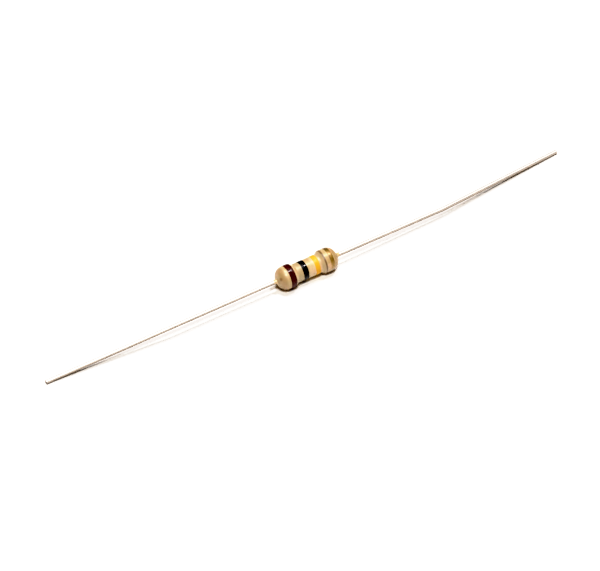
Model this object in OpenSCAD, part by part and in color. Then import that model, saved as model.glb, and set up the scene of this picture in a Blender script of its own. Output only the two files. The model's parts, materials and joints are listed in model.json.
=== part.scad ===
// Carbon film resistor with axial leads, lying as it comes to rest.
// The body's axis runs along X, with the gold band towards +X. The origin is on the
// surface that it lies on, under the middle of the body. All sizes are in millimetres.

/* [Lacquered body] */
// Length over the two domed ends, without the lacquer that creeps along the leads
body_l = 6.5; // [5.4:0.1:8]
// Diameter of the two heads, where the lacquer covers the end caps
head_d = 2.3; // [1.9:0.05:3]
// Length of the slope between the barrel and each head
shoulder_l = 0.42; // [0.2:0.02:0.6]
// Depth of each domed end
dome_l = 1; // [0.75:0.05:1.2]
// How full each dome is: 2 is an ellipse, and more is blunter
dome_full = 2.5; // [2:0.1:3]
// Lacquer over an end cap
head_coat_t = 0.2; // [0.12:0.01:0.25]
// Lacquer over the carbon film, between the caps
barrel_coat_t = 0.13; // [0.08:0.01:0.25]
// Distance from the outer face of a cap to the tip of the dome that covers it
end_cover = 0.6; // [0.5:0.05:0.8]

/* [Lacquer creep] */
// Length of the lacquer that creeps along each lead, past the dome
creep_l = 0.3; // [0.2:0.05:0.8]
// Diameter of the creep where it leaves the dome
creep_d = 0.66; // [0.6:0.02:1]
// Thickness of the creep at its far edge
creep_edge = 0.02; // [0.01:0.01:0.04]

/* [End caps] */
// Depth of each pressed cap, outside
cap_l = 1.2; // [0.95:0.05:1.3]
// Wall of each cap
cap_t = 0.15; // [0.1:0.01:0.2]
// Radius of the cap's outer corner
cap_round = 0.12; // [0.05:0.01:0.2]

/* [Carbon film] */
// Thickness of the film on the core
film_t = 0.02; // [0.01:0.002:0.03]
// Distance along the core from one turn of the spiral cut to the next
cut_pitch = 0.5; // [0.35:0.05:0.8]
// Width of the spiral cut
cut_w = 0.12; // [0.06:0.02:0.2]
// Uncut film between the end of the spiral and the rim of each cap
cut_margin = 0.25; // [0.1:0.05:0.5]

/* [Leads] */
// Diameter of the wire
lead_d = 0.4; // [0.3:0.02:0.55]
// Diameter of the weld on the face of the cap
weld_d = 0.62; // [0.58:0.02:0.8]
// Length of the weld along the wire
weld_l = 0.14; // [0.08:0.02:0.3]
// Radius of the soft bends, at the middle of the wire
bend_r = 8; // [3:0.5:20]

/* [Left lead] */
// Free length, along the wire from the dome's tip
left_l = 24.5; // [20:0.1:32]
// Distance along the wire from the dome's tip to the bend
left_bend_at = 11.4; // [4:0.2:16]
// Angle of the outer run towards +Y; it falls until its tip touches the surface
left_swing = 3.4; // [1:0.1:8]

/* [Right lead] */
// Free length, along the wire from the dome's tip
right_l = 25.2; // [20:0.1:32]
// Distance along the wire from the dome's tip to the bend near the body
right_near_at = 1; // [0.8:0.1:3]
// Angle of the inner run towards +Y
right_inner_swing = 1.2; // [0.2:0.1:4]
// Angle of the inner run downwards
right_inner_fall = 1.6; // [0.5:0.1:2]
// Distance along the wire from the dome's tip to the outer bend
right_far_at = 12; // [6:0.2:16]
// Angle of the outer run towards +Y; it falls until its tip touches the surface
right_outer_swing = 6; // [4.5:0.1:10]

/* [Colour bands] */
// Thickness of the paint
band_t = 0.012; // [0.006:0.002:0.03]
// From the tip of the left dome to the middle of the brown band
brown_in = 1.33; // [1.1:0.01:1.4]
// Width of the brown band
brown_w = 0.6; // [0.3:0.02:0.7]
// Middle of the black band, along the body from its middle
black_x = -0.46; // [-0.5:0.01:-0.3]
// Width of the black band
black_w = 0.55; // [0.3:0.02:0.6]
// Middle of the yellow band, along the body from its middle
yellow_x = 0.83; // [0.5:0.01:0.9]
// Width of the yellow band
yellow_w = 0.5; // [0.3:0.02:0.6]
// From the tip of the right dome to the middle of the gold band
gold_in = 0.93; // [0.8:0.01:1]
// Width of the gold band
gold_w = 0.4; // [0.3:0.02:0.5]

/* [Hidden] */
$fn = 96;
// Steps along each curved stretch of the body's outline
curve_steps = 12;
// Rings of the film's ribbon in one turn of the spiral
ribbon_steps = 32;
// A bend is this much thinner than the wire, and starts this far inside the runs it joins
bend_thinner = 0.002;
bend_inside = 0.05;

// Radii, from the heads inwards and back out to the barrel
head_r = head_d / 2;
cap_r = head_r - head_coat_t;
film_r = cap_r - cap_t;
core_r = film_r - film_t;
barrel_r = film_r + barrel_coat_t;
lead_r = lead_d / 2;
weld_r = weld_d / 2;

// Places along the body, from its middle
tip_x = body_l / 2;
cap_x = tip_x - end_cover;
core_x = cap_x - cap_t;
rim_x = cap_x - cap_l;
cut_x = rim_x - cut_margin;
dome_x = tip_x - dome_l;
creep_t = pow(1 - pow(creep_d / 2 / head_r, 2), 1 / dome_full);
creep_x = dome_x + dome_l * creep_t;
creep_end_x = tip_x + creep_l;

// Outline of the lacquer from the barrel to the right lead, as [along the body, radius]
shoulder = [
    for (i = [0 : curve_steps]) let (t = i / curve_steps)
        [rim_x + (t - 0.5) * shoulder_l, barrel_r + (head_r - barrel_r) * (1 - cos(180 * t)) / 2]
];
dome = [
    for (i = [0 : curve_steps]) let (t = creep_t * sin(90 * i / curve_steps))
        [dome_x + dome_l * t, head_r * sqrt(1 - pow(t, dome_full))]
];
creep = [
    for (i = [1 : curve_steps]) let (t = i / curve_steps)
        [
            creep_x + (creep_end_x - creep_x) * t,
            lead_r + creep_edge + (creep_d / 2 - lead_r - creep_edge) * pow(1 - t, 2)
        ]
];
skin = both_ways(concat(shoulder, dome, creep));

// Outline of the space that the lacquer leaves for the film, the caps, the welds and the wire
cap_corner = [
    for (i = [0 : curve_steps]) let (a = 90 * i / curve_steps)
        [cap_x + cap_round * (sin(a) - 1), cap_r + cap_round * (cos(a) - 1)]
];
inside = both_ways(concat(
    [[rim_x, film_r], [rim_x, cap_r]],
    cap_corner,
    [[cap_x, weld_r], [cap_x + weld_l, lead_r], [creep_end_x, lead_r]]
));

// Bands as [left edge, right edge], and the height at which the widest painted place rolls
brown = edges(-tip_x + brown_in, brown_w);
black = edges(black_x, black_w);
yellow = edges(yellow_x, yellow_w);
gold = edges(tip_x - gold_in, gold_w);
axis_z = max([for (b = [brown, gold], p = band_skin(b)) p.y]) + band_t;

// Runs of each lead from the cap outwards, as [length, angle towards +Y, angle downwards]
left_inner = [[end_cover + left_bend_at, 0, 0]];
left_runs = landed(-1, left_inner, left_l - left_bend_at, left_swing);
right_inner = [
    [end_cover + right_near_at, 0, 0],
    [right_far_at - right_near_at, right_inner_swing, right_inner_fall]
];
right_runs = landed(1, right_inner, right_l - right_far_at, right_outer_swing);

// An outline for the right half, with its mirror image before it
function both_ways(half) = concat(
    [for (i = [len(half) - 1 : -1 : 0]) [-half[i].x, half[i].y]],
    half
);

function edges(middle, width) = [middle - width / 2, middle + width / 2];

// The stretch of the lacquer's outline that a band covers
function band_skin(band) = concat(
    [[band[0], lookup(band[0], skin)]],
    [for (p = skin) if (p.x > band[0] && p.x < band[1]) p],
    [[band[1], lookup(band[1], skin)]]
);

// The way that run n of a lead points, and the place where it starts
function heading(side, run) = [
    side * cos(run[1]) * cos(run[2]),
    sin(run[1]) * cos(run[2]),
    -sin(run[2])
];
function corner(side, runs, n) = n == 0
    ? [side * cap_x, 0, axis_z]
    : corner(side, runs, n - 1) + runs[n - 1][0] * heading(side, runs[n - 1]);

// The runs with a last one added, whose tip touches the surface
function landed(side, runs, length, swing) = concat(
    runs,
    [[length, swing, asin((corner(side, runs, len(runs)).z - lead_r) / length)]]
);

// The angle of the bend at the start of run n, and how far it reaches along each run
function bend_a(side, runs, n) = acos(heading(side, runs[n - 1]) * heading(side, runs[n]));
function reach(side, runs, n) = n == 0 || n == len(runs)
    ? 0
    : bend_r * tan(bend_a(side, runs, n) / 2);

// Turns an outline of [along, radius] points round the body's axis
module turned(outline) {
    translate([0, 0, axis_z])
        rotate([0, 90, 0])
            rotate_extrude()
                polygon([for (p = outline) [p.y, p.x]]);
}

// Places its children with their axes along x_way and y_way
module placed(origin, x_way, y_way) {
    z_way = cross(x_way, y_way);
    multmatrix([
        [x_way.x, y_way.x, z_way.x, origin.x],
        [x_way.y, y_way.y, z_way.y, origin.y],
        [x_way.z, y_way.z, z_way.z, origin.z],
        [0, 0, 0, 1]
    ])
        children();
}

// The first run of a lead, welded to the middle of the cap
module welded_wire(side, runs) {
    end_x = cap_x + runs[0][0] - reach(side, runs, 1);
    turned([
        [side * cap_x, 0],
        [side * cap_x, weld_r],
        [side * (cap_x + weld_l), lead_r],
        [side * end_x, lead_r],
        [side * end_x, 0]
    ]);
}

// One of the runs after it
module straight_wire(side, runs, n) {
    way = heading(side, runs[n]);
    near = reach(side, runs, n);
    far = reach(side, runs, n + 1);
    side_way = cross(way, [0, 0, 1]) / norm(cross(way, [0, 0, 1]));
    placed(corner(side, runs, n) + near * way, side_way, cross(way, side_way))
        cylinder(h = runs[n][0] - near - far, r = lead_r);
}

// The bend that joins run n to the run before it
module bent_wire(side, runs, n) {
    from_way = heading(side, runs[n - 1]);
    to_way = heading(side, runs[n]);
    across = to_way - (to_way * from_way) * from_way;
    inward = across / norm(across);
    start = corner(side, runs, n) - reach(side, runs, n) * from_way;
    inside_a = bend_inside / bend_r * 180 / PI;
    placed(start + bend_r * inward, -inward, from_way)
        rotate(-inside_a)
            rotate_extrude(angle = bend_a(side, runs, n) + 2 * inside_a)
                translate([bend_r, 0])
                    circle(r = lead_r - bend_thinner);
}

// A whole lead, from its weld to its tip
module lead(side, runs) {
    welded_wire(side, runs);
    for (n = [1 : len(runs) - 1]) {
        bent_wire(side, runs, n);
        straight_wire(side, runs, n);
    }
}

// A pressed cup on the end of the core, its floor outwards
module end_cap(side) {
    turned([
        for (p = concat(
            [[core_x, 0], [core_x, film_r], [rim_x, film_r], [rim_x, cap_r]],
            cap_corner,
            [[cap_x, 0]]
        ))
            [side * p.x, p.y]
    ]);
}

// A ring of uncut film under a cap
module film_ring(side) {
    turned([
        [side * cut_x, core_r],
        [side * cut_x, film_r],
        [side * core_x, film_r],
        [side * core_x, core_r]
    ]);
}

// The ribbon of film that the spiral cut leaves between the two rings
module film_ribbon() {
    ribbon_w = cut_pitch - cut_w;
    start_x = -cut_x - ribbon_w;
    turns = -2 * start_x / cut_pitch;
    steps = ceil(turns * ribbon_steps);
    // Flat facets clear the round core, and the outside stays within the rings
    in_r = core_r / cos(180 / ribbon_steps);
    out_r = film_r - film_t / 20;
    corners = [[-ribbon_w / 2, in_r], [ribbon_w / 2, in_r], [ribbon_w / 2, out_r], [-ribbon_w / 2, out_r]];
    points = [
        for (i = [0 : steps], c = corners)
            let (a = 360 * turns * i / steps)
                [start_x * (1 - 2 * i / steps) + c.x, c.y * cos(a), c.y * sin(a)]
    ];
    sides = [
        for (i = [0 : steps - 1], j = [0 : 3])
            let (k = (j + 1) % 4)
                [4 * i + j, 4 * (i + 1) + j, 4 * (i + 1) + k, 4 * i + k]
    ];
    ends = [[0, 1, 2, 3], [for (j = [3 : -1 : 0]) 4 * steps + j]];
    translate([0, 0, axis_z])
        polyhedron(points, concat(ends, sides), convexity = 10);
}

// A ring of paint that follows the lacquer
module band(band) {
    under = band_skin(band);
    over = [for (i = [len(under) - 1 : -1 : 0]) [under[i].x, under[i].y + band_t]];
    turned(concat(under, over));
}

module ceramic_core() {
    color("whitesmoke")
        turned([[-core_x, 0], [-core_x, core_r], [core_x, core_r], [core_x, 0]]);
}

module carbon_film() {
    color("dimgray") {
        film_ring(-1);
        film_ring(1);
        film_ribbon();
    }
}

module end_cap_left() {
    color("silver")
        end_cap(-1);
}

module end_cap_right() {
    color("silver")
        end_cap(1);
}

module lead_left() {
    color("gainsboro")
        lead(-1, left_runs);
}

module lead_right() {
    color("gainsboro")
        lead(1, right_runs);
}

module coating() {
    color([0.84, 0.72, 0.53])
        turned(concat(skin, [for (i = [len(inside) - 1 : -1 : 0]) inside[i]]));
}

module band_brown() {
    color([0.3, 0.06, 0.02])
        band(brown);
}

module band_black() {
    color([0.02, 0.02, 0.02])
        band(black);
}

module band_yellow() {
    color([0.96, 0.75, 0.08])
        band(yellow);
}

module band_gold() {
    color([0.72, 0.55, 0.2])
        band(gold);
}

ceramic_core();
carbon_film();
end_cap_left();
end_cap_right();
lead_left();
lead_right();
coating();
band_brown();
band_black();
band_yellow();
band_gold();
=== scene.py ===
import json
import math

import bmesh
import bpy
from mathutils import Matrix, Vector


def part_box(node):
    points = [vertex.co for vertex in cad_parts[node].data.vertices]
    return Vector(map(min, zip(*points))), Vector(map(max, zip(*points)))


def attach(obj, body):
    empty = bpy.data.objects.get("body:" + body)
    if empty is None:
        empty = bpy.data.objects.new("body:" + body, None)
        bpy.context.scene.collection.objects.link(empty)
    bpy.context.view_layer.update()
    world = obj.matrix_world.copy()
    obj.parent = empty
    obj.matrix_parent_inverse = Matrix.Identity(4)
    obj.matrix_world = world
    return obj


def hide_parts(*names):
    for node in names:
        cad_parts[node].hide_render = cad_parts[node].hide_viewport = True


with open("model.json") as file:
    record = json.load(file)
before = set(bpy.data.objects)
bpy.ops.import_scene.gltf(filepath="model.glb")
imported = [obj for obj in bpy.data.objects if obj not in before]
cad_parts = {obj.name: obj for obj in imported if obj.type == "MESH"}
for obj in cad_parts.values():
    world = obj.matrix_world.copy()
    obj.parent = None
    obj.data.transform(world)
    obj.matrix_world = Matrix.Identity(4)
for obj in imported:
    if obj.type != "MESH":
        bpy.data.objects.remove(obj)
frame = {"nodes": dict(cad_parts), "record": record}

mm = 0.001
scene = bpy.context.scene
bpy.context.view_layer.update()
fullTurn = 2 * math.pi


# Camera and studio

view = {
    "azimuth": -30.875,  # degrees round from the body's side
    "elevation": 46.997,
    "distance": 1.5,
    "lens": 963,  # long, for a small part seen from far off
    "aimRight": -0.581 * mm,  # where it points, from the frame's origin
    "aimUp": -0.796 * mm,
}

studio = {
    "floorSize": 6,
    "floorColour": (0.9, 0.87, 0.84, 1),
    "ambient": 0.07,
    "ambientColour": (1, 0.78, 0.6, 1),
    "boxDistance": 0.5,
    # each box: the way to it, its width and depth, the brightness it gives the floor, its colour
    "boxes": [
        ("frontBox", (-0.14, -0.33, 1), 0.09, 0.07, 0.58, (1, 1, 0.99)),
        ("backBox", (0.06, 0.25, 1), 0.09, 0.07, 0.46, (1, 0.99, 0.98)),
        ("glintBox", (0.37, 0.03, 1), 0.05, 0.05, 0.28, (1, 0.95, 0.98)),
    ],
}

contrast = [(0.035, 0.003), (0.14, 0.095), (0.45, 0.48), (0.72, 0.88)]  # (light in, light out)


def makeCamera():
    azimuth = math.radians(view["azimuth"])
    elevation = math.radians(view["elevation"])
    back = Vector((
        math.sin(azimuth) * math.cos(elevation),
        -math.cos(azimuth) * math.cos(elevation),
        math.sin(elevation),
    ))
    right = Vector((math.cos(azimuth), math.sin(azimuth), 0))
    aim = right * view["aimRight"] + back.cross(right) * view["aimUp"]
    camera = bpy.data.objects.new("camera", bpy.data.cameras.new("camera"))
    camera.data.lens = view["lens"]
    camera.location = back * view["distance"] + aim
    camera.rotation_euler = back.to_track_quat("Z", "Y").to_euler()
    scene.collection.objects.link(camera)
    scene.camera = camera


def makeLights():
    albedo = studio["floorColour"][0]
    for name, way, width, depth, brightness, colour in studio["boxes"]:
        toBox = Vector(way).normalized()
        across = Vector((0, 1, 0)).cross(toBox).normalized()
        lamp = bpy.data.lights.new(name, "AREA")
        lamp.shape = "RECTANGLE"
        lamp.size = width
        lamp.size_y = depth
        lamp.color = colour
        # power that gives the floor this brightness, from the box's distance and slant
        lamp.energy = brightness * math.pi ** 2 * studio["boxDistance"] ** 2 / albedo / toBox.z
        box = bpy.data.objects.new(name, lamp)
        box.location = toBox * studio["boxDistance"]
        box.rotation_euler = Matrix((across, toBox.cross(across), toBox)).transposed().to_euler()
        scene.collection.objects.link(box)
    world = bpy.data.worlds.new("studio")
    world.use_nodes = True
    ambient = world.node_tree.nodes["Background"]
    ambient.inputs["Color"].default_value = studio["ambientColour"]
    ambient.inputs["Strength"].default_value = studio["ambient"]
    scene.world = world


def setContrast():
    # crisp contrast: deep darks and clean whites
    settings = scene.view_settings
    settings.view_transform = "Standard"
    settings.use_curve_mapping = True
    settings.curve_mapping.use_clip = False
    curve = settings.curve_mapping.curves[3]  # the combined curve
    for position, value in contrast:
        curve.points.new(position, value)
    settings.curve_mapping.update()


makeCamera()
makeLights()
setContrast()
print("camera and lights made")


# Node trees: sockets that take arithmetic, and one method that adds any node

class Value:
    def __init__(self, graph, socket):
        self.graph = graph
        self.socket = socket

    def math(self, operation, *others):
        return self.graph.math(operation, self, *others)

    def __add__(self, other):
        return self.graph.math("ADD", self, other)

    def __radd__(self, other):
        return self.graph.math("ADD", other, self)

    def __sub__(self, other):
        return self.graph.math("SUBTRACT", self, other)

    def __rsub__(self, other):
        return self.graph.math("SUBTRACT", other, self)

    def __mul__(self, other):
        return self.graph.math("MULTIPLY", self, other)

    def __rmul__(self, other):
        return self.graph.math("MULTIPLY", other, self)

    def __truediv__(self, other):
        return self.graph.math("DIVIDE", self, other)

    def __rtruediv__(self, other):
        return self.graph.math("DIVIDE", other, self)

    def __pow__(self, other):
        return self.graph.math("POWER", self, other)

    def between(self, low, high, soft):  # 1 from low to high, fading over soft at each end
        return self.ramp(low - soft, low + soft) * (1 - self.ramp(high - soft, high + soft))

    def ramp(self, low, high, start=0.0, end=1.0):  # clamped, with soft shoulders
        sockets = {"Value": self, "From Min": low, "From Max": high, "To Min": start, "To Max": end}
        return self.graph.add("ShaderNodeMapRange", {"interpolation_type": "SMOOTHSTEP"}, sockets)

    def parts(self):
        return [self.graph.add("ShaderNodeSeparateXYZ", {}, {"Vector": self}, axis) for axis in "XYZ"]


class Graph:
    def __init__(self, tree):
        self.tree = tree

    def link(self, value, socket):
        if isinstance(value, Value):
            self.tree.links.new(value.socket, socket)
        else:
            socket.default_value = value

    def add(self, kind, settings, sockets, output=None):  # gives the first output, or the named one
        node = self.tree.nodes.new(kind)
        for name, setting in settings.items():
            setattr(node, name, setting)
        for key, value in sockets.items():
            found = [s for s in node.inputs if s.enabled and s.name == key]
            self.link(value, node.inputs[key] if isinstance(key, int) else found[0])
        made = [s for s in node.outputs if s.enabled and output in (None, s.name)]
        return Value(self, made[0]) if made else None

    def math(self, operation, *values):
        vector = any(isinstance(v, Value) and v.socket.type == "VECTOR" for v in values)
        if vector:
            values = [v if isinstance(v, (Value, tuple)) else (v, v, v) for v in values]
        kind = "ShaderNodeVectorMath" if vector else "ShaderNodeMath"
        return self.add(kind, {"operation": operation}, dict(enumerate(values)))

    def vector(self, x, y, z):
        return self.add("ShaderNodeCombineXYZ", {}, {"X": x, "Y": y, "Z": z})

    def noise(self, place, scale, detail=2.0, rough=0.5):
        sockets = {"Vector": place, "Scale": scale, "Detail": detail, "Roughness": rough}
        return self.add("ShaderNodeTexNoise", {}, sockets)

    def mix(self, share, first, second):
        sockets = {"Factor": share, "A": first, "B": second}
        return self.add("ShaderNodeMix", {"data_type": "RGBA"}, sockets)

    def bump(self, height, strength, distance, normal=None):
        sockets = {"Height": height, "Strength": strength, "Distance": distance}
        if normal:
            sockets["Normal"] = normal
        return self.add("ShaderNodeBump", {}, sockets)


# Sizes that the pieces take from the frame, and the few that they share

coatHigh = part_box("coating")[1]
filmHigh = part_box("carbon_film")[1]
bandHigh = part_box("band_black")[1]
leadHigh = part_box("lead_right")[1]
coreLow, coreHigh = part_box("ceramic_core")
capLow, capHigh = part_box("end_cap_right")
axisZ = (coreLow.z + coreHigh.z) / 2
wireRadius = frame["record"]["mounts"][0]["dims"]["r_mm"] * mm

paintThickness = 0.012 * mm
domeCover = 0.6 * mm  # from the cap's face to the tip of the dome
domeLength = 1 * mm

body = {
    "Axis Height": axisZ,
    "Head Radius": coatHigh.y,
    "Barrel Radius": bandHigh.z - axisZ - paintThickness,
    "Shoulder Middle": capLow.x,  # the lacquer steps up over the cap's rim
    "Shoulder Length": 0.42 * mm,
    "Dome Start": capHigh.x + domeCover - domeLength,
    "Dome Length": domeLength,
    "Left Fullness": 2.1,  # of the domes: 2 is an ellipse, and more is blunter
    "Right Fullness": 2.5,
    "Creep Radius": 0.27 * mm,  # where the lacquer leaves the dome and runs out along the wire
    "Creep End": coatHigh.x,
    "Creep Edge": 0.008 * mm,
    "Wire Radius": wireRadius,
    "Lump Depth": 0.018 * mm,
    "Lump Size": 0.8 * mm,
}

print("frame measured")


# Geometry Nodes: trees with named inputs, applied as a modifier and turned into a plain mesh

def newTree(name, inputs):
    tree = bpy.data.node_groups.new(name, "GeometryNodeTree")
    kinds = {float: "NodeSocketFloat", int: "NodeSocketInt"}
    tree.interface.new_socket("Geometry", in_out="INPUT", socket_type="NodeSocketGeometry")
    for socketName, kind in inputs.items():
        tree.interface.new_socket(socketName, in_out="INPUT", socket_type=kinds.get(kind, kind))
    tree.interface.new_socket("Geometry", in_out="OUTPUT", socket_type="NodeSocketGeometry")
    graph = Graph(tree)
    source = graph.add("NodeGroupInput", {}, {}).socket.node
    given = {s.name: Value(graph, s) for s in source.outputs if s.name}
    return graph, given


def endTree(graph, geometry, given):
    realized = graph.add("GeometryNodeRealizeInstances", {}, {"Geometry": geometry})
    sockets = {"Geometry": realized, "Material": given["Material"]}
    finished = graph.add("GeometryNodeSetMaterial", {}, sockets)
    graph.add("NodeGroupOutput", {}, {"Geometry": finished})
    return graph.tree


def runTree(name, tree, settings, start=None):  # start: the mesh that the tree works on, if any
    holder = bpy.data.objects.new(name, start or bpy.data.meshes.new(name))
    scene.collection.objects.link(holder)
    modifier = holder.modifiers.new("nodes", "NODES")
    modifier.node_group = tree
    for item in tree.interface.items_tree:
        if item.in_out == "INPUT" and item.name in settings:
            modifier[item.identifier] = settings[item.name]
    evaluated = holder.evaluated_get(bpy.context.evaluated_depsgraph_get())
    mesh = bpy.data.meshes.new_from_object(evaluated)
    holder.modifiers.remove(modifier)
    bpy.data.objects.remove(holder)
    piece = bpy.data.objects.new(name, mesh)
    mesh.name = name
    scene.collection.objects.link(piece)
    return piece


def weldMesh(piece, extraRings=(), gap=1e-4 * mm):
    # adds any inner wall, merges the seams, and turns every face outwards
    mesh = bmesh.new()
    mesh.from_mesh(piece.data)
    for rings in extraRings:
        loops = [[mesh.verts.new(point) for point in ring] for ring in rings]
        for near, far in zip(loops, loops[1:]):
            for i in range(len(near)):
                j = (i + 1) % len(near)
                mesh.faces.new((near[i], near[j], far[j], far[i]))
    bmesh.ops.remove_doubles(mesh, verts=mesh.verts, dist=gap)
    bmesh.ops.recalc_face_normals(mesh, faces=mesh.faces)
    for face in mesh.faces:
        face.smooth = True
    mesh.to_mesh(piece.data)
    mesh.free()
    return piece


# The lacquered body: one rule for its radius, shared by the coat and the paint on it

bodyInputs = {name: float for name in body}
ringInputs = {"Steps Around": int, "Steps Along": int, "Material": "NodeSocketMaterial"}


def skinRadius(x, given):
    distance = x.math("ABSOLUTE")
    slope = given["Shoulder Length"] * 0.5
    rise = distance.ramp(given["Shoulder Middle"] - slope, given["Shoulder Middle"] + slope)
    straight = given["Barrel Radius"] + (given["Head Radius"] - given["Barrel Radius"]) * rise
    inDome = (distance - given["Dome Start"]) / given["Dome Length"]
    inDome = inDome.math("MAXIMUM", 0).math("MINIMUM", 1)
    onRight = x.math("GREATER_THAN", 0)
    fullness = given["Left Fullness"] * (1 - onRight) + given["Right Fullness"] * onRight
    dome = straight * (1 - inDome ** fullness).math("SQRT")
    # the creep leaves the dome at its own radius, and thins towards its end
    share = given["Creep Radius"] / given["Head Radius"]
    creepStart = given["Dome Start"] + given["Dome Length"] * (1 - share ** 2) ** (1 / fullness)
    along = ((distance - creepStart) / (given["Creep End"] - creepStart)).math("MAXIMUM", 0)
    foot = given["Wire Radius"] + given["Creep Edge"]
    creep = foot + (given["Creep Radius"] - foot) * (1 - along) ** 2
    past = distance.math("GREATER_THAN", creepStart)
    return dome * (1 - past) + creep * past


def onBody(graph, given, x, angle, lift):
    radius = skinRadius(x, given)
    across, up = angle.math("COSINE"), angle.math("SINE")
    skin = graph.vector(x, radius * across, radius * up)
    lumps = graph.noise(skin / given["Lump Size"], 1, 1.0)
    # the lumps fade towards the creep, where the lacquer is thin
    depth = given["Lump Depth"] * lumps * radius.ramp(given["Creep Radius"], given["Barrel Radius"])
    height = radius - depth + lift
    return graph.vector(x, height * across, height * up + given["Axis Height"])


def gridOf(graph, given):
    # a unit square, whose sides become the way along the body and the way round it
    counts = {"Vertices X": given["Steps Along"], "Vertices Y": given["Steps Around"]}
    grid = graph.add("GeometryNodeMeshGrid", {}, {**counts, "Size X": 1, "Size Y": 1})
    place = graph.add("GeometryNodeInputPosition", {}, {})
    u, v = (place + (0.5, 0.5, 0)).parts()[:2]
    return grid, u, v


def coatTree():
    graph, given = newTree("lacquerSkin", {**bodyInputs, **ringInputs})
    grid, u, v = gridOf(graph, given)
    x = given["Creep End"] * (u * 2 - 1)
    point = onBody(graph, given, x, v * fullTurn, 0)
    shaped = graph.add("GeometryNodeSetPosition", {}, {"Geometry": grid, "Position": point})
    return endTree(graph, shaped, given)


def bandTree():
    bandInputs = {"From": float, "To": float, "Paint": float, "Edge Wobble": float, "Seed": float}
    graph, given = newTree("paintedBand", {**bodyInputs, **bandInputs, **ringInputs})
    grid, u, v = gridOf(graph, given)
    angle, section = v * fullTurn, u * fullTurn
    # round the body the band wanders, and swells and narrows a little
    circle = graph.vector(angle.math("COSINE"), angle.math("SINE"), given["Seed"])
    wobble = (graph.noise(circle, 1.6) - 0.5) * given["Edge Wobble"] * 2
    swell = (graph.noise(circle + (4, 0, 0), 2.5) - 0.5) * given["Edge Wobble"] * 2
    middle = (given["From"] + given["To"]) * 0.5 + wobble
    half = (given["To"] - given["From"]) * 0.5 + swell
    # the section is a flat loop: all the paint's thickness above, and a fifth of it sunk below
    cosine = section.math("COSINE")
    fullness = (1 - (cosine ** 2) ** 3).math("MAXIMUM", 0) ** 0.4
    lift = fullness * given["Paint"] * (section.math("SINE").math("SIGN") * 0.6 + 0.4)
    point = onBody(graph, given, middle - half * cosine, angle, lift)
    shaped = graph.add("GeometryNodeSetPosition", {}, {"Geometry": grid, "Position": point})
    return endTree(graph, shaped, given)


def wireTree():
    wireInputs = {
        "Wire Radius": float,
        "Weld Radius": float,
        "Weld Length": float,
        "Bend Radius": float,
        "Bend Steps": int,
        "Ring Spacing": float,
        "Shear": float,
        "Sheared Share": float,
        "Waviness": float,
    }
    graph, given = newTree("tinnedWire", {**wireInputs, **ringInputs})
    route = graph.add("GeometryNodeMeshToCurve", {}, {"Mesh": given["Geometry"]})
    sockets = {"Curve": route, "Count": given["Bend Steps"], "Radius": given["Bend Radius"]}
    bent = graph.add("GeometryNodeFilletCurve", {"mode": "POLY"}, sockets)
    sockets = {"Curve": bent, "Length": given["Ring Spacing"]}
    line = graph.add("GeometryNodeResampleCurve", {"mode": "LENGTH"}, sockets)

    # along the wire: the weld flares at the cap, and the sheared tip narrows
    length = graph.add("GeometryNodeSplineParameter", {}, {}, "Length")
    total = graph.add("GeometryNodeSplineLength", {}, {}, "Length")
    flare = 1 - (length / given["Weld Length"]).math("MINIMUM", 1)
    weld = flare * (given["Weld Radius"] - given["Wire Radius"])
    narrow = (total - length).ramp(0, given["Shear"], given["Sheared Share"], 1)
    wave = graph.noise(graph.vector(length / mm, 0, 0), 0.7, 1.0) * given["Waviness"]
    radius = given["Wire Radius"] * narrow - wave + weld
    sockets = {"Curve": line, "Radius": radius / given["Wire Radius"]}
    sized = graph.add("GeometryNodeSetCurveRadius", {}, sockets)
    sockets = {"Geometry": sized, "Name": "along", "Value": length / mm}
    marked = graph.add("GeometryNodeStoreNamedAttribute", {"data_type": "FLOAT"}, sockets)

    # round the wire: its section, which keeps each point's place for the material
    sockets = {"Resolution": given["Steps Around"], "Radius": given["Wire Radius"]}
    ring = graph.add("GeometryNodeCurvePrimitiveCircle", {}, sockets, "Curve")
    around = graph.add("GeometryNodeInputPosition", {}, {}) / given["Wire Radius"]
    sockets = {"Geometry": ring, "Name": "around", "Value": around}
    ring = graph.add("GeometryNodeStoreNamedAttribute", {"data_type": "FLOAT_VECTOR"}, sockets)
    sockets = {"Curve": marked, "Profile Curve": ring, "Fill Caps": True}
    wire = graph.add("GeometryNodeCurveToMesh", {}, sockets)
    return endTree(graph, wire, given)


# Pieces

steps = {"around": 144, "coatAlong": 260, "bandSection": 80, "wireAround": 32, "wireBend": 24}

bands = {
    "brown": {"wobble": 0.03 * mm, "seed": 1.0},
    "black": {"wobble": 0.03 * mm, "seed": 2.0},
    "yellow": {"wobble": 0.035 * mm, "seed": 3.0},
    "gold": {"wobble": 0.025 * mm, "seed": 4.0},
}

wire = {
    "Wire Radius": wireRadius,
    "Weld Radius": leadHigh.z - axisZ,
    "Weld Length": 0.14 * mm,
    "Bend Radius": 8 * mm,
    "Bend Steps": steps["wireBend"],
    "Ring Spacing": 0.07 * mm,
    "Shear": 0.07 * mm,  # how far from its end the cutter pinched the wire
    "Sheared Share": 0.82,  # of the radius that is left at the very end
    "Waviness": 0.004 * mm,
    "Steps Around": steps["wireAround"],
}

# each lead: free length from the dome's tip, its runs as (distance from the dome's tip to
# the run's end, angle towards +Y, angle downwards), and the last run's angle towards +Y
leads = {
    "leftLead": {
        "side": -1,
        "node": "lead_left",
        "length": 24.5 * mm,
        "runs": [(11.4 * mm, 0, 0)],
        "swing": 3.4,
    },
    "rightLead": {
        "side": 1,
        "node": "lead_right",
        "length": 25.2 * mm,
        "runs": [(1 * mm, 0, 0), (12 * mm, 1.2, 1.6)],
        "swing": 6,
    },
}


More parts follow.
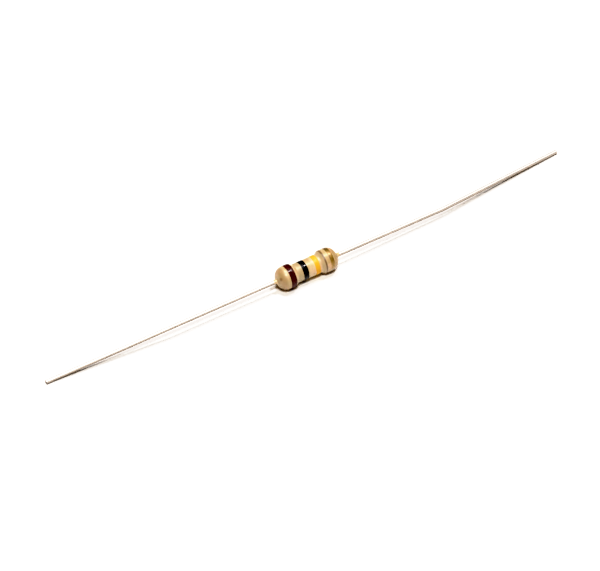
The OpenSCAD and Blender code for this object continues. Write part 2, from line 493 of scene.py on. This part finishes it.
def heading(side, swing, fall):
    swing, fall = math.radians(swing), math.radians(fall)
    level = math.cos(fall)
    return Vector((side * math.cos(swing) * level, math.sin(swing) * level, -math.sin(fall)))


def leadRoute(lead):
    points = [Vector((lead["side"] * capHigh.x, 0, axisZ))]
    done = -domeCover
    for end, swing, fall in lead["runs"]:
        points.append(points[-1] + (end - done) * heading(lead["side"], swing, fall))
        done = end
    rest = lead["length"] - done
    fall = math.degrees(math.asin((points[-1].z - wireRadius) / rest))  # the tip ends on the floor
    points.append(points[-1] + rest * heading(lead["side"], lead["swing"], fall))
    return points


def turnedRing(x, radius):
    count = steps["around"]
    angles = [fullTurn * i / count for i in range(count)]
    return [Vector((x, radius * math.cos(a), axisZ + radius * math.sin(a))) for a in angles]


def coatInside():
    # the space that the lacquer leaves for the film, the caps, the welds and the wire
    filmRadius = filmHigh.z - axisZ
    capRadius = capHigh.y
    outline = [
        (coatHigh.x, wireRadius + body["Creep Edge"]),
        (coatHigh.x, wireRadius),
        (capHigh.x + wire["Weld Length"], wireRadius),
        (capHigh.x, wire["Weld Radius"]),
        (capHigh.x, capRadius),
        (capLow.x, capRadius),
        (capLow.x, filmRadius),
    ]
    outline += [(-x, radius) for x, radius in reversed(outline)]
    return [turnedRing(x, radius) for x, radius in outline]


def finishPiece(piece, node):
    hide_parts(node)
    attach(piece, "root")


def makeBody(materials):
    turned = {**body, "Steps Around": steps["around"] + 1}  # the last row closes on the first
    settings = {**turned, "Steps Along": steps["coatAlong"], "Material": materials["tanLacquer"]}
    coat = weldMesh(runTree("lacquerCoat", coatTree(), settings), [coatInside()])
    finishPiece(coat, "coating")
    tree = bandTree()
    for colour, band in bands.items():
        low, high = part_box("band_" + colour)
        settings = {
            **turned,
            "From": low.x,
            "To": high.x,
            "Paint": paintThickness,
            "Edge Wobble": band["wobble"],
            "Seed": band["seed"],
            "Steps Along": steps["bandSection"],
            "Material": materials[colour + "Paint"],
        }
        piece = weldMesh(runTree(colour + "Band", tree, settings))
        finishPiece(piece, "band_" + colour)


def makeLeads(materials):
    tree = wireTree()
    settings = {**wire, "Material": materials["tinnedWire"]}
    for name, lead in leads.items():
        points = leadRoute(lead)
        line = bpy.data.meshes.new(name)
        line.from_pydata(points, [(i, i + 1) for i in range(len(points) - 1)], [])
        finishPiece(weldMesh(runTree(name, tree, settings, line)), lead["node"])


# Materials

def tone(*levels):  # red, green and blue from 0 to 255, made linear
    shares = [level / 255 for level in levels]
    linear = [c / 12.92 if c <= 0.04045 else ((c + 0.055) / 1.055) ** 2.4 for c in shares]
    return (*linear, 1)


# a place is from and to along the body, in millimetres from its middle
lacquer = {
    "sand": tone(174, 149, 105),
    "cream": tone(200, 179, 142),
    "green": tone(180, 168, 124),
    "pink": tone(214, 177, 142),
    # the amber is painted shade on both domes, and also the colour of the specks
    "speckAndDomeShade": tone(154, 123, 78),
    "domeShadePlace": (2.55, 3.1),  # on both domes
    # a little darker over the shoulders
    "shoulderTint": tone(158, 141, 104),
    "shoulderTintPlaces": [((-1.3, -0.6), 0.2, 0.7), ((1.2, 1.55), 0.1, 0.5)],  # place, fade, strength
    "creep": tone(196, 174, 134),
    "creepPlace": (3.05, 3.4),
    # painted shade and dark reflection on the crest beside the right cap's rim
    "crestShadeColour": tone(86, 48, 8),
    "crestShadePlace": (1.57, 1.73),  # beside the rim of the right cap
    # painted shadow and reflection of the wire on the left dome
    "wireShadowSpot": tone(124, 84, 40),
    "wireShadowMiddle": (-2.98, -0.45, 0.55),
    "wireShadowRadii": (0.05, 0.25),  # dark within the first, and gone by the second
}

paints = {
    "brownPaint": {"deep": tone(66, 12, 3), "worn": tone(94, 26, 8), "roughness": 0.16},
    "blackPaint": {"deep": tone(2, 2, 3), "worn": tone(8, 7, 8), "roughness": 0.12},
    "yellowPaint": {"deep": tone(210, 162, 58), "worn": tone(216, 170, 76), "roughness": 0.3},
}

gold = {
    "deep": tone(98, 72, 12),
    "bright": tone(156, 122, 52),
    "flake": tone(205, 174, 108),
}

tin = {
    "pale": tone(226, 220, 212),
    "drawn": tone(206, 198, 188),
    "skin": tone(212, 198, 182),
    # painted shade for the wire's underside
    "under": tone(136, 122, 108),
}

inside = {
    "ceramic": (tone(240, 237, 230), tone(224, 219, 208)),
    "carbon": (tone(38, 38, 40), tone(70, 68, 66)),
    "cap": (tone(206, 205, 202), tone(170, 168, 164)),
}

# what is the same all over each finish
constants = {
    "tanLacquer": {"Specular IOR Level": 0.4, "Coat Weight": 0.6, "Coat Roughness": 0.36},
    "bandPaint": {"Specular IOR Level": 0.25},
    "goldPaint": {"Coat Weight": 1, "Coat Roughness": 0.36},
    "tinnedWire": {"Metallic": 1},
    "ceramicRod": {"Roughness": 0.7},
    "carbonFilm": {},
    "pressedCap": {"Metallic": 1},
    "paleCard": {"Base Color": studio["floorColour"], "Roughness": 0.8, "Specular IOR Level": 0.1},
}


def makeMaterial(name, fixed, recipe):
    material = bpy.data.materials.new(name)
    material.use_nodes = True
    graph = Graph(material.node_tree)
    shader = material.node_tree.nodes["Principled BSDF"]
    for socket, value in fixed.items():
        shader.inputs[socket].default_value = value
    # places in millimetres from the body's middle, on its axis
    spot = graph.add("ShaderNodeTexCoord", {}, {}, "Object")
    sockets = {"Vector": spot, "Location": (0, 0, -axisZ / mm), "Scale": (1 / mm, 1 / mm, 1 / mm)}
    place = graph.add("ShaderNodeMapping", {}, sockets)
    for socket, value in recipe(graph, place).items():
        graph.link(value, shader.inputs[socket])
    return material


def tanLacquer(graph, place):
    x, y, z = place.parts()
    reach = x.math("ABSOLUTE")
    # dipping leaves rings round the body, and drying leaves blotches and specks
    rings = graph.noise(graph.vector(x * 2.4, y * 0.4, z * 0.4), 1, 3.0, 0.6)
    blotches = graph.noise(place, 1.3, 3.0, 0.6)
    specks = graph.noise(place, 11)
    colour = graph.mix(rings.ramp(0.36, 0.66), lacquer["sand"], lacquer["cream"])
    colour = graph.mix(blotches.ramp(0.3, 0.5, 0.5, 0), colour, lacquer["green"])
    colour = graph.mix(blotches.ramp(0.48, 0.66) * 0.65, colour, lacquer["pink"])
    # painted shade: both domes are coloured darker and browner
    domeShadeMask = reach.between(*lacquer["domeShadePlace"], 0.2) * (0.3 + rings * 0.6)
    colour = graph.mix(domeShadeMask, colour, lacquer["speckAndDomeShade"])
    # a little darker over the shoulders
    shoulderTint = sum(x.between(*ends, fade) * strength for ends, fade, strength in lacquer["shoulderTintPlaces"])
    colour = graph.mix(shoulderTint, colour, lacquer["shoulderTint"])
    colour = graph.mix(reach.ramp(*lacquer["creepPlace"]), colour, lacquer["creep"])
    # painted shade and dark reflection: a dark line beside the rim of the right cap, where the
    # shoulder's crest turns away from the light
    crestShadeMask = x.between(*lacquer["crestShadePlace"], 0.05) * rings.ramp(0.25, 0.5, 0.65, 1)
    colour = graph.mix(crestShadeMask * 0.8, colour, lacquer["crestShadeColour"])
    # painted shadow and reflection of the wire: a dark spot on the left dome, beside where the wire
    # leaves it
    away = (place - lacquer["wireShadowMiddle"]).math("LENGTH")
    colour = graph.mix(away.ramp(*lacquer["wireShadowRadii"], 0.75, 0), colour, lacquer["wireShadowSpot"])
    colour = graph.mix(specks.ramp(0.62, 0.74) * 0.25, colour, lacquer["speckAndDomeShade"])
    fine = graph.bump(graph.noise(place, 5, 3.0), 0.35, 0.02 * mm)
    return {
        "Base Color": colour,
        "Roughness": 0.36 + blotches * 0.16,
        "Normal": graph.bump(specks, 0.2, 0.006 * mm, fine),
    }


def bandPaint(paint):
    def recipe(graph, place):
        x, y, z = place.parts()
        # streaks run round the body, and the gloss comes in patches
        streaks = graph.noise(graph.vector(x * 7, y * 1.2, z * 1.2), 1, 3.0)
        patches = graph.noise(place, 2.2)
        colour = graph.mix(streaks.ramp(0.45, 0.75) * 0.6, paint["deep"], paint["worn"])
        return {
            "Base Color": colour,
            "Roughness": paint["roughness"] + patches.ramp(0.5, 0.62, 0.3, 0),
            "Normal": graph.bump(graph.noise(place, 3), 0.4, paintThickness),
        }
    return recipe


def goldPaint(graph, place):
    x, y, z = place.parts()
    # metal flakes, gathered in swirls
    flakes = graph.noise(place, 22)
    swirls = graph.noise(graph.vector(x * 3, y, z), 1.4, 3.0)
    colour = graph.mix(swirls.ramp(0.35, 0.65), gold["deep"], gold["bright"])
    colour = graph.mix(flakes.ramp(0.55, 0.7) * 0.4, colour, gold["flake"])
    return {
        "Base Color": colour,
        "Metallic": swirls.ramp(0.3, 0.6, 0.2, 0.4),
        "Roughness": 0.3 + flakes * 0.15,
        "Normal": graph.bump(flakes, 0.25, 0.006 * mm),
    }


def tinnedWire(graph, place):
    # the wire's own measures: millimetres from the cap, and the place on its round section
    along = graph.add("ShaderNodeAttribute", {"attribute_name": "along"}, {}, "Fac")
    around = graph.add("ShaderNodeAttribute", {"attribute_name": "around"}, {}, "Vector")
    across, up = around.parts()[:2]
    # draw lines run along the wire, under a skin of tin that is a little uneven
    lines = graph.noise(graph.vector(along * 0.12, across * 4, up * 4), 1, 3.0)
    skin = graph.noise(graph.vector(along * 1.5, across * 0.8, up * 0.8), 1, 3.0)
    colour = graph.mix(lines.ramp(0.4, 0.7) * 0.7, tin["pale"], tin["drawn"])
    colour = graph.mix(skin.ramp(0.5, 0.75) * 0.4, colour, tin["skin"])
    # painted shade: the underside is coloured darker
    facing = graph.add("ShaderNodeNewGeometry", {}, {}, "Normal").parts()[2]
    colour = graph.mix(facing.ramp(0.05, 0.35, 1, 0), colour, tin["under"])
    return {
        "Base Color": colour,
        "Roughness": 0.5 + skin * 0.12,
        "Normal": graph.bump(skin, 0.15, 0.008 * mm, graph.bump(lines, 0.15, 0.004 * mm)),
    }


def ceramicRod(graph, place):
    grain = graph.noise(place, 14, 3.0)
    colour = graph.mix(grain.ramp(0.4, 0.7), *inside["ceramic"])
    return {"Base Color": colour, "Normal": graph.bump(grain, 0.3, 0.01 * mm)}


def carbonFilm(graph, place):
    grain = graph.noise(place, 18, 3.0)
    colour = graph.mix(grain.ramp(0.4, 0.7), *inside["carbon"])
    return {"Base Color": colour, "Roughness": 0.35 + grain * 0.3}


def pressedCap(graph, place):
    x, y, z = place.parts()
    lines = graph.noise(graph.vector(x * 1.5, y * 9, z * 9), 1, 3.0)
    colour = graph.mix(lines.ramp(0.4, 0.7), *inside["cap"])
    return {
        "Base Color": colour,
        "Roughness": 0.25 + lines * 0.2,
        "Normal": graph.bump(lines, 0.2, 0.006 * mm),
    }


def paleCard(graph, place):
    return {}


def makeMaterials():
    recipes = {
        "tanLacquer": tanLacquer,
        "goldPaint": goldPaint,
        "tinnedWire": tinnedWire,
        "ceramicRod": ceramicRod,
        "carbonFilm": carbonFilm,
        "pressedCap": pressedCap,
        "paleCard": paleCard,
    }
    made = {name: makeMaterial(name, constants[name], recipe) for name, recipe in recipes.items()}
    for name, paint in paints.items():
        made[name] = makeMaterial(name, constants["bandPaint"], bandPaint(paint))
    return made


def finishHiddenParts(materials):
    # under the lacquer the frame's own parts stay
    hidden = {
        "ceramic_core": "ceramicRod",
        "carbon_film": "carbonFilm",
        "end_cap_left": "pressedCap",
        "end_cap_right": "pressedCap",
    }
    for node, name in hidden.items():
        for place in frame["nodes"][node].material_slots:
            place.material = materials[name]


def makeFloor(materials):
    mesh = bpy.data.meshes.new("floor")
    half = studio["floorSize"] / 2
    corners = [(-half, -half, 0), (half, -half, 0), (half, half, 0), (-half, half, 0)]
    mesh.from_pydata(corners, [], [(0, 1, 2, 3)])
    mesh.materials.append(materials["paleCard"])
    floor = bpy.data.objects.new("floor", mesh)
    scene.collection.objects.link(floor)


materials = makeMaterials()
print("materials made")
makeFloor(materials)
makeBody(materials)
print("lacquered body made")
makeLeads(materials)
print("leads made")
finishHiddenParts(materials)
print("hidden parts finished")
